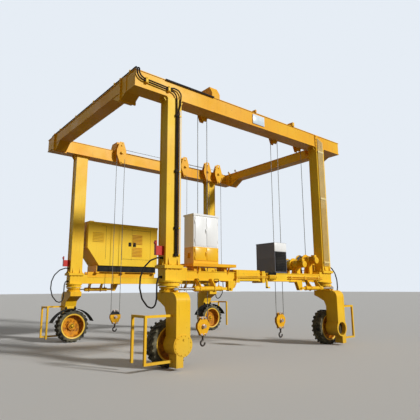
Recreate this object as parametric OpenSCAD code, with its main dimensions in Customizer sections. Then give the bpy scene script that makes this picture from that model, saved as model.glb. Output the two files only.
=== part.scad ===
// Rubber tyred gantry crane: a portal on four steered wheels, with four hook blocks
// hoisted by winches. X is along the girders, -Y is the front, Z is up and the origin
// is on the ground in the middle of the portal. All sizes are in millimetres.

/* [Portal] */
// Length of the two girders, along X
girder_len = 7660; // [7400:10:8200]
// Height of the girder tops above the ground
girder_top = 6350; // [6000:10:6900]
// Height of a girder
girder_h = 400; // [360:10:440]
// Width of a girder
girder_w = 420; // [400:10:460]
// Thickness of the girder's top and bottom plates
plate_t = 16; // [10:1:24]
// How far plates stand out past the webs between them
plate_lip = 15; // [6:1:24]
// Width of the two cross beams
beam_w = 350; // [300:10:380]
// Height of the two cross beams
beam_h = 310; // [280:10:340]
// Distance of the bolted beam joints from the middle plane
joint_y = 2200; // [2140:10:2260]
// Width of the bolted joint flanges
joint_w = 420; // [400:10:440]
// Thickness of one joint flange
joint_t = 20; // [14:1:28]
// How far the joint flanges reach below the girders
joint_drop = 130; // [80:10:160]
// Length of the haunch under a cross beam's end
haunch_len = 420; // [300:10:600]

/* [Columns and sills] */
// Half the distance between the columns along X
col_x = 2775; // [2700:5:2850]
// Half the distance between the columns across
col_y = 2705; // [2680:5:2800]
// Size of a column along X
col_l = 380; // [340:10:420]
// Size of a column across
col_w = 300; // [280:10:320]
// Thickness of the columns' flanges
col_flange_t = 40; // [24:2:44]
// How far the columns' base flanges stand out
col_flange_out = 50; // [30:5:60]
// Height of the gussets on the columns' feet
gusset_h = 170; // [120:10:200]
// Height of the sills' undersides above the ground
sill_bottom = 1775; // [1700:5:1850]
// Height of a sill
sill_h = 215; // [190:5:230]
// Width of a sill
sill_w = 300; // [280:10:300]
// Extra height of the sills' end blocks
end_block_h = 70; // [50:5:90]
// Length of the sills' end blocks
end_block_len = 565; // [520:5:600]

/* [Steering] */
// Diameter of the slewing rings
ring_d = 500; // [460:10:520]
// Height of the slewing rings
ring_h = 120; // [100:5:140]
// Gap between a slewing ring and the turret under it
ring_gap = 5; // [3:1:8]
// Diameter of the turrets on the yokes
turret_d = 420; // [380:10:450]
// Height of the turrets
turret_h = 120; // [110:5:140]
// Diameter of the kingpins
kingpin_d = 120; // [100:2:140]
// Radial clearance of pins in their bores
pin_clear = 0.05; // [0.02:0.01:0.1]
// Radius of the steering arm, from kingpin to cylinder pin
steer_arm = 295; // [285:1:305]
// Diameter of the steering cylinders' barrels
barrel_d = 110; // [96:2:116]
// Length of the barrels
barrel_len = 740; // [680:10:800]
// Diameter of the steering cylinders' rods
steer_rod_d = 40; // [34:1:46]

/* [Wheels] */
// Outer diameter of the tyres
tyre_d = 965; // [900:5:980]
// Width of the tyres
tyre_w = 300; // [260:5:304]
// Outer diameter of the rims, where the tyres sit
rim_d = 690; // [640:10:720]
// Height of the rim flanges
rim_lip = 27; // [16:1:34]
// Thickness of the rims' wells
rim_t = 18; // [12:1:24]
// Diameter of the hubs
hub_d = 250; // [220:10:280]
// Diameter of the axles
axle_d = 90; // [70:2:100]
// Number of lugs on each side of a tyre
lug_count = 22; // [16:1:26]
// Height of the lugs
lug_h = 22; // [14:1:26]

/* [Yokes and guards] */
// Width of the yoke arms along X
arm_l = 350; // [300:10:380]
// Thickness of the yoke arms across
arm_w = 379; // [330:1:400]
// Distance of the yoke arms' inner faces from the wheels' middle planes
arm_in = 170; // [165:1:180]
// Radius of the round housings at the yokes' lower ends
housing_r = 230; // [210:5:240]
// Radius of the outer knees of the yokes
knee_r = 190; // [140:10:240]
// Depth of the yoke heads at the kingpins
head_h = 190; // [150:10:230]
// Size of the square tubes of the wheel guards
guard_t = 50; // [40:2:60]
// Height of the guards' top bars
guard_top = 1090; // [1000:10:1150]
// Height of the guards' lower bars
guard_bottom = 155; // [140:5:200]

/* [Hoisting] */
// Place of the hook pair on the left, along X
hoist_a_x = -1520; // [-1540:5:-1500]
// Place of the hook pair on the right, along X
hoist_b_x = 1200; // [1180:5:1210]
// Diameter of the wire ropes
rope_d = 18; // [14:1:20]
// Radius of the ropes' centre lines on sheaves and drums
rope_r = 150; // [146:1:152]
// Distance of the left hooks' ropes from the middle plane
rope_y_a = 2290; // [2286:1:2292]
// Distance of the right hooks' ropes from the middle plane
rope_y_b = 2330; // [2328:1:2334]
// Height of the hook blocks' sheaves at rest
block_z = 720; // [700:5:760]
// Thickness of the cheek plates of all blocks
cheek_t = 14; // [10:1:16]
// Thickness of the sheaves
sheave_t = 34; // [32:1:36]

/* [Equipment] */
// Length of the generator housing
gen_len = 2600; // [2400:10:2700]
// Height of the generator housing
gen_h = 1400; // [1300:10:1500]
// Width of the generator housing
gen_w = 850; // [800:10:854]
// Height of the electrical cabinet
cabinet_h = 1140; // [1000:10:1250]
// Height of the hydraulic power unit
power_h = 790; // [740:10:900]
// Diameter of the thick hoses
hose_d = 34; // [28:1:48]

/* [Hidden] */
$fn = 48;
half_len = girder_len / 2;
face_y = col_y + col_w / 2;
girder_y0 = face_y - girder_w;
girder_z0 = girder_top - girder_h;
beam_x = half_len - beam_w / 2;
beam_z0 = girder_top - beam_h;
joint_top = girder_top + 25;
joint_z0 = girder_z0 - joint_drop;
sill_top = sill_bottom + sill_h;
block_top = sill_top + end_block_h;
sill_y0 = face_y - sill_w;
sill_end = col_x + col_l / 2;
foot_z = block_top + col_flange_t;
head_flange_t = 25;
ring_z = sill_bottom - ring_h;
turret_top = ring_z - ring_gap;
head_top = turret_top - turret_h;
kingpin_top = sill_bottom + 125;
axle_z = tyre_d / 2;
arm_y0 = col_y + arm_in;
arm_y1 = arm_y0 + arm_w;
steer_y = col_y + steer_arm;
steer_axis_y = steer_y - 9;
steer_z = head_top + 65;
barrel_x1 = col_x - 505;
sheave_z = girder_top - 100;
sheave_r = rope_r + rope_d;
run_z = sheave_z + rope_r;
fall_top = 5900;
cheek_in = rope_y_a - 35;
cheek_out = rope_y_b + 35;
turn_b_x = 2320;
turn_a_x = 2900;
drum_a = [1750, 2270];
drum_b = [2320, 2400];
bed_x = [1470, 2390, 2975];
bed_y = 2140;
guide = [2900, 2270];
bed_z = sill_top + 12;
drum_y = [2200, 2450];
drum_pin_d = 50;
bearing_t = 24;
gen_x0 = -2510;
gen_y0 = 2400;
gen_z0 = 2360;
channel_top = 2150;
cabinet_x = [-2220, -1490];
cabinet_y = [2490, 2855];
deck_z = 2160;
hose_y = face_y + hose_d / 2 + 14;
hose_bend_r = 50;
hose_top = girder_top + hose_bend_r;
axle_y0 = col_y - 30;
hub_y0 = -20;
disc_y = 80;
hand = [[-1, -1], [1, -1], [-1, 1], [1, 1]];

// A box between two limits along each axis
module span(x, y, z) {
    translate([x[0], y[0], z[0]]) cube([x[1] - x[0], y[1] - y[0], z[1] - z[0]]);
}

// A round bar along X, between two limits, at a place in Y and Z
module bar_x(d, x, y, z) {
    translate([x[0], y, z]) rotate([0, 90, 0]) cylinder(d = d, h = x[1] - x[0]);
}

// A round bar along Y, between two limits, at a place in X and Z
module bar_y(d, x, y, z) {
    translate([x, y[0], z]) rotate([-90, 0, 0]) cylinder(d = d, h = y[1] - y[0]);
}

// A round bar along Z, between two limits, at a place in X and Y
module bar_z(d, x, y, z) {
    translate([x, y, z[0]]) cylinder(d = d, h = z[1] - z[0]);
}

// A flat shape drawn in X and Z, made solid between two limits in Y
module slab_y(y) {
    translate([0, y[1], 0]) rotate([90, 0, 0]) linear_extrude(y[1] - y[0]) children();
}

// A flat shape drawn in Y and Z, made solid between two limits in X
module slab_x(x) {
    translate([x[0], 0, 0]) rotate([90, 0, 90]) linear_extrude(x[1] - x[0]) children();
}

// Puts what is drawn in the back right quarter into another quarter
module quarter(sx, sy) {
    mirror([sx < 0 ? 1 : 0, 0, 0]) mirror([0, sy < 0 ? 1 : 0, 0]) children();
}

// The unit step from one point of a route to the next
function step(points, i) = (points[i + 1] - points[i]) / norm(points[i + 1] - points[i]);

// The direction across a route at one of its points, lengthened on a bend to keep the width
function across(points, i) =
    let (last = len(points) - 1)
    let (before = step(points, max(i - 1, 0)), after = step(points, min(i, last - 1)))
    let (middle = (before + after) / norm(before + after))
    cross(middle, [0, 1, 0]) / (middle * after);

// A bent hose through a list of points that share one Y
module pipe(points, d) {
    sides = 12;
    last = len(points) - 1;
    ring = [for (i = [0 : last], k = [0 : sides - 1])
        points[i] + d / 2 * (cos(k * 360 / sides) * [0, 1, 0]
            + sin(k * 360 / sides) * across(points, i))];
    walls = [for (i = [0 : last - 1], k = [0 : sides - 1])
        let (m = (k + 1) % sides)
        [i * sides + k, (i + 1) * sides + k, (i + 1) * sides + m, i * sides + m]];
    ends = [[for (k = [0 : sides - 1]) k], [for (k = [sides - 1 : -1 : 0]) last * sides + k]];
    polyhedron(points = ring, faces = concat(walls, ends));
}

// A quarter turn of rope about a sheave, from one direction in XZ to the next
module rope_bend(x, y, z, start) {
    translate([x, y, z]) rotate([90, 0, 0]) rotate([0, 0, start])
        rotate_extrude(angle = 90) translate([rope_r, 0]) circle(d = rope_d);
}

// A grooved wheel about a bar along Y
module sheave(x, y, z, bore) {
    half = sheave_t / 2;
    translate([x, y, z]) rotate([90, 0, 0]) rotate_extrude()
        polygon([
            [bore / 2, -half], [sheave_r, -half], [sheave_r, -half + 4],
            [rope_r - rope_d / 2 - 1, -rope_d / 2 - 2], [rope_r - rope_d / 2 - 1, rope_d / 2 + 2],
            [sheave_r, half - 4], [sheave_r, half], [bore / 2, half]
        ]);
}

// One girder with its end stubs, drawn at the back
module girder() {
    web = [girder_y0 + plate_lip, face_y - plate_lip];
    span([-half_len, half_len], [girder_y0, face_y], [girder_z0, girder_z0 + plate_t]);
    span([-half_len, half_len], [girder_y0, face_y], [girder_top - plate_t, girder_top]);
    span([-half_len + plate_lip, half_len - plate_lip], web,
        [girder_z0 + plate_t, girder_top - plate_t]);
    for (side = [-1, 1]) {
        translate([side * beam_x, 0, 0]) {
            span([-beam_w / 2, beam_w / 2], [joint_y + joint_t, web[0]],
                [beam_z0, girder_top - plate_t]);
            span([-beam_w / 2, beam_w / 2], [joint_y + joint_t, girder_y0],
                [girder_top - plate_t, girder_top]);
            span([-joint_w / 2, joint_w / 2], [joint_y, joint_y + joint_t], [joint_z0, joint_top]);
            slab_x([-beam_w / 2, beam_w / 2]) polygon([
                [joint_y + joint_t, joint_z0 + 20], [girder_y0, girder_z0],
                [web[0], girder_z0 + plate_t], [web[0], beam_z0], [joint_y + joint_t, beam_z0]
            ]);
        }
    }
}

// The bolted plate over the front girder's web, above the right column
module girder_splice() {
    span([col_x - 225, col_x - 35], [face_y, face_y + 10], [girder_z0 + 10, girder_top - 10]);
}

module front_girder() {
    color("#f2c418") quarter(1, -1) {
        girder();
        girder_splice();
    }
}

module back_girder() {
    color("#f2c418") girder();
}

// One cross beam on the right, with its end flanges and haunches
module cross_beam() {
    end_y = joint_y - joint_t;
    x = [beam_x - beam_w / 2, beam_x + beam_w / 2];
    web_x = [x[0] + plate_lip, x[1] - plate_lip];
    span(x, [-end_y, end_y], [beam_z0, beam_z0 + plate_t]);
    span(x, [-end_y, end_y], [girder_top - plate_t, girder_top]);
    span(web_x, [-end_y, end_y], [beam_z0 + plate_t, girder_top - plate_t]);
    for (side = [0, 1]) mirror([0, side, 0]) {
        span([beam_x - joint_w / 2, beam_x + joint_w / 2], [end_y, joint_y],
            [joint_z0, joint_top]);
        slab_x(web_x) polygon([
            [end_y, joint_z0 + 20], [end_y, beam_z0], [end_y - haunch_len, beam_z0],
            [end_y - 90, joint_z0 + 20]
        ]);
    }
}

module left_cross_beam() {
    color("#f2c418") quarter(-1, 1) cross_beam();
}

module right_cross_beam() {
    color("#f2c418") cross_beam();
}

// One column, drawn at the back on the right
module column() {
    x = [col_x - col_l / 2, col_x + col_l / 2];
    y = [face_y - col_w, face_y];
    body_z = [foot_z, girder_z0 - head_flange_t];
    span(x, [y[0], y[0] + plate_t], body_z);
    span(x, [y[1] - plate_t, y[1]], body_z);
    span([x[0] + plate_lip, x[1] - plate_lip], [y[0] + plate_t, y[1] - plate_t], body_z);
    span([x[0] - col_flange_out, x[1] + col_flange_out],
        [y[0] - col_flange_out, y[1] + col_flange_out], [block_top, foot_z]);
    span([x[0] - 20, x[1] + 20], [y[0] - 20, y[1]], [body_z[1], girder_z0]);
    for (side = [-1, 1]) {
        for (place = [-0.3, 0.3]) {
            slab_y([col_y + place * col_w - 8, col_y + place * col_w + 8]) polygon([
                [col_x + side * (col_l / 2 - plate_lip), foot_z],
                [col_x + side * (col_l / 2 + col_flange_out - 8), foot_z],
                [col_x + side * (col_l / 2 + col_flange_out - 8), foot_z + 20],
                [col_x + side * (col_l / 2 - plate_lip), foot_z + gusset_h]
            ]);
            slab_y([col_y + place * col_w - 8, col_y + place * col_w + 8]) polygon([
                [col_x + side * (col_l / 2 - plate_lip), girder_z0],
                [col_x + side * (col_l / 2 + 80), girder_z0],
                [col_x + side * (col_l / 2 + 80), girder_z0 - 20],
                [col_x + side * (col_l / 2 - plate_lip), girder_z0 - 150]
            ]);
            slab_x([col_x + place * col_l - 8, col_x + place * col_l + 8]) polygon([
                [col_y + side * col_w / 2, foot_z],
                [col_y + side * (col_w / 2 + col_flange_out - 8), foot_z],
                [col_y + side * (col_w / 2 + col_flange_out - 8), foot_z + 20],
                [col_y + side * col_w / 2, foot_z + gusset_h]
            ]);
        }
    }
}

module placed_column(sx, sy) {
    color("#f2c418") quarter(sx, sy) column();
}

// One sill with its end blocks and slewing rings, drawn at the back
module sill() {
    y = [sill_y0, face_y];
    difference() {
        union() {
            span([-sill_end, sill_end], y, [sill_bottom, sill_bottom + plate_t]);
            span([-sill_end, sill_end], y, [sill_top - plate_t, sill_top]);
            span([-sill_end, sill_end], [y[0] + plate_lip, y[1] - plate_lip],
                [sill_bottom + plate_t, sill_top - plate_t]);
            for (side = [-1, 1]) {
                span([side * (sill_end - end_block_len / 2) - end_block_len / 2,
                    side * (sill_end - end_block_len / 2) + end_block_len / 2],
                    y, [sill_bottom, sill_top]);
                span([side * col_x - col_l / 2 - col_flange_out,
                    side * col_x + col_l / 2 + col_flange_out],
                    [col_y - col_w / 2 - col_flange_out, face_y + col_flange_out],
                    [block_top - 30, block_top]);
                span([side * (sill_end - end_block_len / 2) - end_block_len / 2,
                    side * (sill_end - end_block_len / 2) + end_block_len / 2],
                    y, [sill_top, block_top]);
                bar_z(ring_d, side * col_x, col_y, [sill_bottom - 34, sill_bottom]);
                bar_z(ring_d - 70, side * col_x, col_y, [ring_z + 30, sill_bottom]);
                bar_z(ring_d - 24, side * col_x, col_y, [ring_z, ring_z + 40]);
            }
        }
        for (side = [-1, 1])
            bar_z(kingpin_d + 2 * pin_clear, side * col_x, col_y, [ring_z - 1, kingpin_top + 8]);
    }
}

// The bolted splice and the doubled middle length on the front sill
module sill_splice() {
    for (x = [-950, -895, -60, -5])
        span([x, x + 50], [sill_y0 - 30, face_y + 40], [sill_bottom - 40, sill_top + 40]);
    span([-845, -160], [face_y, face_y + 22], [sill_bottom + 10, sill_bottom + 95]);
    span([-845, -160], [face_y, face_y + 22], [sill_top - 90, sill_top - 5]);
    span([-845, -100], [sill_y0 + 10, face_y - 10], [sill_top, sill_top + 40]);
    span([-895, -845], [sill_y0 + 10, face_y - 10], [sill_top + 40, sill_top + 60]);
    span([-1010, -100], [sill_y0 + 10, face_y - 10], [sill_top + 40, sill_top + 60]);
}

module front_sill() {
    color("#f2c418") quarter(1, -1) {
        sill();
        sill_splice();
    }
}

module back_sill() {
    color("#f2c418") sill();
}

// The outline of a cheek plate about its sheave pin
module cheek_outline() {
    difference() {
        polygon([
            [-55, -370], [55, -370], [180, -70], [180, 90],
            [75, 400], [-75, 400], [-180, 90], [-180, -70]
        ]);
        translate([0, 330]) circle(d = 60);
    }
}

// One sheave block at the inner face of the back girder
module sheave_block(x, planes) {
    for (y = [cheek_in - cheek_t, cheek_out])
        slab_y([y, y + cheek_t]) translate([x, sheave_z]) cheek_outline();
    bar_y(60, x, [cheek_in - cheek_t - 20, cheek_out + cheek_t + 12], sheave_z);
    bar_y(110, x, [cheek_in - cheek_t - 8, cheek_in - cheek_t], sheave_z);
    bar_y(36, x, [cheek_in, cheek_out], sheave_z - 330);
    bar_y(36, x, [cheek_in, cheek_out], sheave_z + 270);
    for (y = planes) sheave(x, y, sheave_z, 60);
    span([x - 100, x + 100], [cheek_out + cheek_t, girder_y0 + plate_lip],
        [girder_z0 + plate_t, girder_top - plate_t]);
}

// The plate between the cheeks that holds a fall's dead end
module dead_end(x) {
    span([x + rope_r - 40, x + rope_r + 10], [cheek_in, cheek_out],
        [sheave_z - 160, sheave_z - 120]);
}

module upper_sheave_blocks() {
    color("#f2c418") for (sy = [-1, 1]) quarter(1, sy) {
        sheave_block(hoist_a_x, [rope_y_a]);
        dead_end(hoist_a_x);
        sheave_block(hoist_b_x, [rope_y_b]);
        dead_end(hoist_b_x);
        sheave_block(turn_b_x, [rope_y_b]);
        sheave_block(turn_a_x, [rope_y_a]);
        saddle();
    }
}

// The box over the girder that carries the left hoisting block
module saddle() {
    slab_x([hoist_a_x - 125, hoist_a_x + 125]) polygon([
        [cheek_out + cheek_t, girder_top], [face_y, girder_top], [face_y, girder_top + 120],
        [face_y - 110, girder_top + 310], [cheek_out + cheek_t, girder_top + 310]
    ]);
}

// The ropes from the hoisting sheaves to the winches
module winch_ropes() {
    color("#5a5650") for (sy = [-1, 1]) quarter(1, sy) {
        for (rope = [
            [hoist_a_x, rope_y_a, turn_a_x, guide[1]], [hoist_b_x, rope_y_b, turn_b_x, drum_b[1]]
        ]) {
            bar_z(rope_d, rope[0] - rope_r, rope[1], [fall_top, sheave_z]);
            bar_z(rope_d, rope[0] + rope_r, rope[1], [fall_top, sheave_z - 160]);
            rope_bend(rope[0], rope[1], sheave_z, 90);
            bar_x(rope_d, [rope[0], rope[2]], rope[1], run_z);
            rope_bend(rope[2], rope[1], sheave_z, 0);
            bar_z(rope_d, rope[2] + rope_r, rope[1], [rope[3], sheave_z]);
        }
        rope_bend(guide[0], rope_y_a, guide[1], -90);
        bar_x(rope_d, [drum_a[0], guide[0]], rope_y_a, guide[1] - rope_r);
    }
}

// One drum with the rope wound on it
module drum(place) {
    translate([place[0], 0, place[1]]) difference() {
        union() {
            bar_y(2 * rope_r - rope_d - 2, 0, drum_y, 0);
            for (y = [drum_y[0], drum_y[1] - 14]) bar_y(380, 0, [y, y + 14], 0);
        }
        bar_y(drum_pin_d + 2 * pin_clear, 0, [drum_y[0] - 1, drum_y[1] + 1], 0);
    }
}

module placed_drum(place, sy) {
    color("#e0b414") quarter(1, sy) drum(place);
}

// One bearing stand with a rounded head, beside a drum
module bearing_stand(place, y) {
    slab_y([y, y + bearing_t]) polygon([
        [place[0] - 150, bed_z], [place[0] + 150, bed_z], [place[0] + 62, place[1] - 20],
        [place[0] - 62, place[1] - 20]
    ]);
    bar_y(130, place[0], [y, y + bearing_t], place[1]);
}

// A bracket on the inner web of a sill that carries what stands beside it
module sill_bracket(y) {
    polygon([
        [y, sill_top], [sill_y0, sill_top], [sill_y0, sill_top - plate_t],
        [sill_y0 + plate_lip, sill_top - plate_t], [sill_y0 + plate_lip, sill_bottom + 30],
        [sill_y0 - 50, sill_bottom + 30], [y, sill_top - 60]
    ]);
}

// One winch without its drum: stands, drum pin, gearbox and motor
module winch(place) {
    stands = [drum_y[0] - 8 - bearing_t, drum_y[1] + 8];
    for (y = stands) bearing_stand(place, y);
    bar_y(drum_pin_d, place[0], [stands[0], stands[1]], place[1]);
    bar_y(250, place[0], [stands[1] + bearing_t, stands[1] + 180], place[1]);
    bar_y(290, place[0], [stands[1] + 70, stands[1] + 96], place[1]);
    bar_y(160, place[0], [stands[1] + 180, face_y - 20], place[1]);
    span([place[0] - 70, place[0] + 70], [stands[1] + 100, stands[1] + 160], [bed_z, place[1]]);
}

// The guide sheave at the foot of the right column
module guide_sheave() {
    for (y = [rope_y_a - 31 - cheek_t, rope_y_a + 31])
        slab_y([y, y + cheek_t]) polygon([
            [guide[0] - 100, bed_z], [guide[0] + 60, bed_z], [guide[0] + 60, guide[1] + 40],
            [guide[0] - 60, guide[1] + 40]
        ]);
    bar_y(50, guide[0], [rope_y_a - 55, rope_y_a + 55], guide[1]);
    sheave(guide[0], rope_y_a, guide[1], 50);
}

module winch_frames() {
    color("#f2c418") for (sy = [-1, 1]) quarter(1, sy) {
        winch(drum_a);
        winch(drum_b);
        guide_sheave();
        span([bed_x[0], bed_x[1]], [bed_y, face_y - 20], [sill_top, bed_z]);
        span([bed_x[1], bed_x[2]], [bed_y, sill_y0 - col_flange_out - 10], [sill_top, bed_z]);
        for (x = [bed_x[0] + 90, bed_x[0] + 480, bed_x[1] - 50])
            slab_x([x, x + 20]) sill_bracket(bed_y + 10);
        slab_x([bed_x[2] - 60, bed_x[2] - 40]) polygon([
            [bed_y + 10, sill_top], [sill_y0, sill_top], [sill_y0, sill_bottom + 30],
            [sill_y0 - 60, sill_bottom + 30], [bed_y + 10, sill_top - 60]
        ]);
    }
}

// The outline of the generator housing, seen from the front
module generator_outline() {
    polygon([
        [0, 560], [410, 0], [gen_len, 0], [gen_len, gen_h], [0, gen_h]
    ]);
}

module generator_housing() {
    door = [[1210, 2310], [240, 1240]];
    color("#f7cd22") translate([gen_x0, gen_y0, gen_z0]) {
        difference() {
            slab_y([0, gen_w]) generator_outline();
            for (row = [[1590, 760], [1590, 330], [150, 760]])
                for (i = [0 : 6])
                    span([row[0], row[0] + 400], [-1, 14], [row[1] + i * 48, row[1] + i * 48 + 24]);
        }
        span([door[0][0], door[0][0] + 360], [-10, 0], [door[1][0], door[1][1]]);
        for (y = [-10, gen_w])
            span([-10, gen_len + 10], [y, y + 10], [gen_h - 70, gen_h + 10]);
        span([-10, gen_len + 10], [0, gen_w], [gen_h, gen_h + 10]);
        for (x = [1480, 1660]) span([x, x + 40], [-28, 0], [690, 790]);
        span([180, 320], [320, 460], [gen_h + 10, gen_h + 90]);
    }
}

module generator_skid() {
    y = [gen_y0 + 60, gen_y0 + gen_w - 60];
    foot = [gen_x0 + 360, gen_x0 + gen_len - 20];
    pitch = (foot[1] - foot[0] - 60) / 4;
    color("#d9ac12") {
        span(foot, [y[0], y[0] + 70], [channel_top, gen_z0]);
        span(foot, [y[1] - 70, y[1]], [channel_top, gen_z0]);
        for (i = [0 : 4])
            span([foot[0] + i * pitch, foot[0] + i * pitch + 60], [y[0] + 70, y[1] - 70],
                [channel_top, gen_z0]);
        for (y0 = [sill_y0 + 10, face_y - 90])
            span([end_block_len - sill_end + 10, gen_x0 + gen_len], [y0, y0 + 80],
                [sill_top, channel_top]);
        for (x = [foot[0] - 20, foot[0] + 900, foot[1] - 120])
            span([x, x + 100], [gen_y0 + 20, gen_y0 + gen_w - 20],
                [channel_top - 40, channel_top]);
    }
}

module electrical_cabinet() {
    top = deck_z + cabinet_h;
    color("#f4f4f2") quarter(1, -1) {
        difference() {
            span(cabinet_x, cabinet_y, [deck_z, top - 40]);
            bar_x(130, [cabinet_x[0] - 1, cabinet_x[0] + 40], 2680, deck_z + 180);
        }
        span([cabinet_x[0] - 18, cabinet_x[1] + 18], [cabinet_y[0] - 18, cabinet_y[1] + 18],
            [top - 40, top]);
        span([cabinet_x[0] + 30, cabinet_x[1] - 30], [cabinet_y[1], cabinet_y[1] + 8],
            [deck_z + 60, top - 70]);
    }
}

module cabinet_platform() {
    x = [-2300, -1010];
    y = [2450, 2950];
    color("#f2c418") quarter(1, -1) {
        span(x, y, [deck_z - 70, deck_z]);
        for (place = [-2200, -1300])
            span([place, place + 90], [sill_y0 + 10, face_y - 10], [sill_top, deck_z - 70]);
        for (place = [-2100, -1200])
            slab_x([place, place + 14]) polygon([
                [face_y, deck_z - 70], [face_y, sill_top - 60], [y[1] - 20, deck_z - 70]
            ]);
    }
}

module power_unit() {
    x = [480, 950];
    y = [2180, 2855];
    color("#6f7375") quarter(1, -1) {
        difference() {
            span(x, y, [sill_top + 10, sill_top + 10 + power_h]);
            for (i = [0 : 11])
                span([x[0] + 40, x[1] - 40], [y[1] - 12, y[1] + 1],
                    [sill_top + 60 + i * 44, sill_top + 84 + i * 44]);
        }
        span([x[0] - 6, x[1] + 6], [y[0] - 6, y[1] + 6],
            [sill_top + 10 + power_h, sill_top + 30 + power_h]);
        for (place = [x[0] + 30, x[1] - 110])
            span([place, place + 80], [y[0] + 20, y[1] - 10], [sill_top, sill_top + 10]);
        for (place = [x[0] + 60, x[1] - 80])
            slab_x([place, place + 20]) sill_bracket(y[0] + 40);
        span([x[0] + 30, x[1] - 30], [y[0] + 40, sill_y0], [sill_top, sill_top + 10]);
    }
}

// The red boxes on the outer faces of the left columns
module alarm_boxes() {
    x = -col_x - col_l / 2 + plate_lip;
    color("#c4231c") for (sy = [-1, 1]) quarter(1, sy) {
        span([x - 185, x], [col_y - 20, col_y + 60], [2310, 2507]);
        span([x - 200, x - 185], [col_y - 20, col_y + 60], [2310, 2625]);
        bar_x(60, [x - 224, x - 200], col_y + 20, 2570);
    }
}

// The two hoses that come off the left cross beam, drawn at the back
module corner_hoses() {
    routes = [
        [[-3800, girder_top], [-3800, 6250], [-3740, 6160], [-3640, 6120], [-3550, 6115],
            [-2950, 6090], [-2840, 6090], [-2770, 6040], [-2740, 5950], [-2735, 5800],
            [-2735, 2300]],
        [[-3740, girder_top], [-3740, 6270], [-3690, 6200], [-3620, 6170], [-3550, 6165],
            [-2950, 6140], [-2820, 6180], [-2690, 6160], [-2620, 6080], [-2630, 5970],
            [-2640, 5800], [-2640, 2300]]
    ];
    for (route = routes) {
        x = route[0][0];
        pipe([for (point = route) [point[0], hose_y, point[1]]], hose_d);
        translate([x, hose_y - hose_bend_r, girder_top]) rotate([90, 0, 90])
            rotate_extrude(angle = 90) translate([hose_bend_r, 0]) circle(d = hose_d);
        bar_y(hose_d, x, [-1800, hose_y - hose_bend_r], hose_top);
    }
    for (y = [-1840, -600, 600, 1800, 2560])
        span([-3828, -3712], [y, y + 40], [girder_top, hose_top + 28]);
    for (place = [[-3550, 6140], [-2960, 6115]])
        span([place[0] - 30, place[0] + 30], [face_y - plate_lip, hose_y + 30],
            [place[1] - 80, place[1] + 80]);
    for (z = [5530, 4200, 2910, 2320])
        span([-2765, -2610], [face_y, hose_y + 30], [z - 30, z + 30]);
}

// The loop of hose from a column's foot to the sill's end, beside a yoke
module foot_loop() {
    seat = 0.3;
    route = [
        [sill_end - plate_lip, 2255], [3080, 2255], [3250, 2190], [3400, 2040], [3480, 1840],
        [3490, 1620], [3430, 1400], [3300, 1240], [3180, 1200], [3105, 1270], [3080, 1400],
        [3080, 1720], [3050, 1830], [3010, 1850], [sill_end + seat, 1850]
    ];
    pipe([for (point = route) [point[0], col_y, point[1]]], hose_d);
}

// The hoses and pipes that are clamped along the portal
module pipework() {
    color("#1b1b1b") {
        quarter(1, -1) corner_hoses();
        for (s = hand) quarter(s[0], s[1]) foot_loop();
        span([-3040, -1590], [-face_y - 20, -face_y], [girder_top - 30, girder_top + 12]);
    }
    color("#cfc9b4") {
        bar_z(26, -2688, -face_y - 26, [2300, 5900]);
        for (i = [0 : 4])
            bar_z(30, 2640 + i * 55, -face_y - 26, [2240, 6230 - i * 20]);
        for (z = [5800, 4300, 2350])
            span([2620, 2890], [-face_y - 44, -face_y], [z - 25, z + 25]);
        for (y = [0, 50])
            bar_x(26, [980, 2500], -face_y - 20, 1850 + y);
        for (x = [1100, 1700, 2300])
            span([x - 20, x + 20], [-face_y - 36, -face_y + plate_lip], [1825, 1925]);
    }
}

// The bracket under a sill that takes the pin at the rear of a steering cylinder
module cylinder_foot(x) {
    span([x - 400, x - 180], [face_y - 100, steer_axis_y + 52], [sill_bottom - 24, sill_bottom]);
    for (side = [-1, 1])
        slab_y([steer_axis_y + side * 38 - 14, steer_axis_y + side * 38 + 14]) polygon([
            [x - 400, sill_bottom - 24], [x - 300, steer_z - 55], [x - 200, steer_z - 55],
            [x - 180, steer_z], [x - 180, sill_bottom - 24]
        ]);
    bar_y(44, x - 240, [steer_axis_y - 62, steer_axis_y + 62], steer_z);
    span([x - 280, x], [steer_axis_y - 20, steer_axis_y + 20], [steer_z - 34, steer_z + 34]);
}

// One steering cylinder barrel with its brackets on the sill
module steering_barrel() {
    x = [barrel_x1 - barrel_len, barrel_x1];
    difference() {
        union() {
            bar_x(barrel_d, x, steer_axis_y, steer_z);
            bar_x(barrel_d + 16, [x[1] - 70, x[1]], steer_axis_y, steer_z);
            bar_x(barrel_d + 10, [x[0], x[0] + 40], steer_axis_y, steer_z);
        }
        bar_x(steer_rod_d + 2 * pin_clear, [x[1] - 330, x[1] + 1], steer_axis_y, steer_z);
    }
    cylinder_foot(x[0]);
    for (place = [x[0] + 200, x[1] - 130]) difference() {
        slab_x([place, place + 30]) polygon([
            [face_y - 90, sill_bottom], [face_y - 90, sill_bottom - 14],
            [face_y - 10, sill_bottom - 14], [face_y + 50, steer_z - 30],
            [steer_axis_y, steer_z - 75], [steer_axis_y + 62, steer_z - 40],
            [steer_axis_y + 62, steer_z + 50], [face_y + 60, sill_bottom + 45],
            [face_y, sill_bottom + 45], [face_y, sill_bottom]
        ]);
        bar_x(barrel_d - 4, [place - 1, place + 31], steer_axis_y, steer_z);
    }
}

module steering_barrels() {
    color("#e8ba16") for (s = hand) quarter(s[0], s[1]) steering_barrel();
}

// One steering rod with the eye that takes the yoke's pin
module steering_rod() {
    eye_h = 50;
    difference() {
        union() {
            bar_x(steer_rod_d, [barrel_x1 - 150, col_x - 30], steer_axis_y, steer_z);
            bar_x(steer_rod_d + 20, [col_x - 110, col_x - 40], steer_axis_y, steer_z);
            bar_z(100, col_x, steer_axis_y, [steer_z - eye_h / 2, steer_z + eye_h / 2]);
        }
        bar_z(62, col_x, steer_axis_y, [steer_z - eye_h, steer_z + eye_h]);
    }
}

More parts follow.
